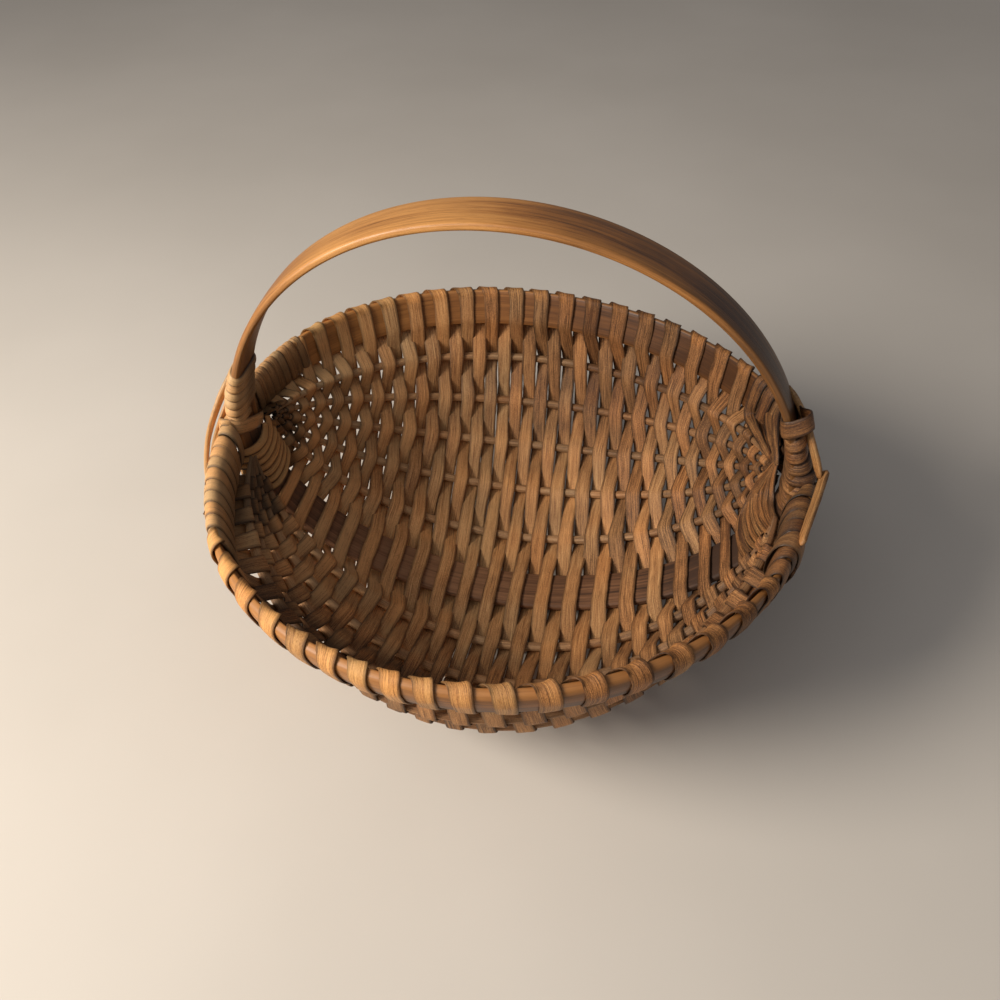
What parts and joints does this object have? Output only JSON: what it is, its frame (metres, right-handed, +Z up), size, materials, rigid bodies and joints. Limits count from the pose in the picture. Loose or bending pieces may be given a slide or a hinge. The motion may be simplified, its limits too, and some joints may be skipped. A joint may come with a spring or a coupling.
{
  "type": "woven splint gathering basket",
  "caption": "Round woven split-wood rib basket with two shallow cheeks and one fixed hoop handle.",
  "frame": {"origin": "the middle of the bounding box in plan, at the height of the lowest woven face", "axes": "+Z up, +X from the ear at the left of the picture to the ear at its right, +Y to the far side of the basket"},
  "size_m": [0.2872, 0.2788, 0.2213],
  "materials": {
    "oak_hoop": "hand-worn satin",
    "oak_rim": "aged satin",
    "oak_rib": "aged, dull",
    "oak_splint": "aged, dull",
    "oak_lashing": "aged, dull",
    "oak_strip": "aged satin"
  },
  "bodies": {
    "root": {"handle_hoop": "oak_hoop", "rim_hoop": "oak_rim", "rib_back_1": "oak_rib", "rib_back_2": "oak_rib", "rib_back_3": "oak_rib", "rib_back_4": "oak_rib", "rib_back_5": "oak_rib", "rib_front_1": "oak_rib", "rib_front_2": "oak_rib", "rib_front_3": "oak_rib", "rib_front_4": "oak_rib", "rib_front_5": "oak_rib", "weaver_01": "oak_splint", "weaver_02": "oak_splint", "weaver_03": "oak_splint", "weaver_04": "oak_splint", "weaver_05": "oak_splint", "weaver_06": "oak_splint", "weaver_07": "oak_splint", "weaver_08": "oak_splint", "weaver_09": "oak_splint", "weaver_10": "oak_splint", "weaver_11": "oak_splint", "weaver_12": "oak_splint", "weaver_13": "oak_splint", "weaver_14": "oak_splint", "weaver_15": "oak_splint", "weaver_16": "oak_splint", "handle_lashing_left": "oak_lashing", "handle_lashing_right": "oak_lashing", "rim_binding_left_front": "oak_lashing", "rim_binding_left_back": "oak_lashing", "rim_binding_right_front": "oak_lashing", "rim_binding_right_back": "oak_lashing", "ear_tie_left": "oak_lashing", "ear_tie_right": "oak_lashing", "ear_strip_left": "oak_strip", "ear_strip_right": "oak_strip", "ear_strip_right_end": "oak_strip"}
  },
  "joints": []
}
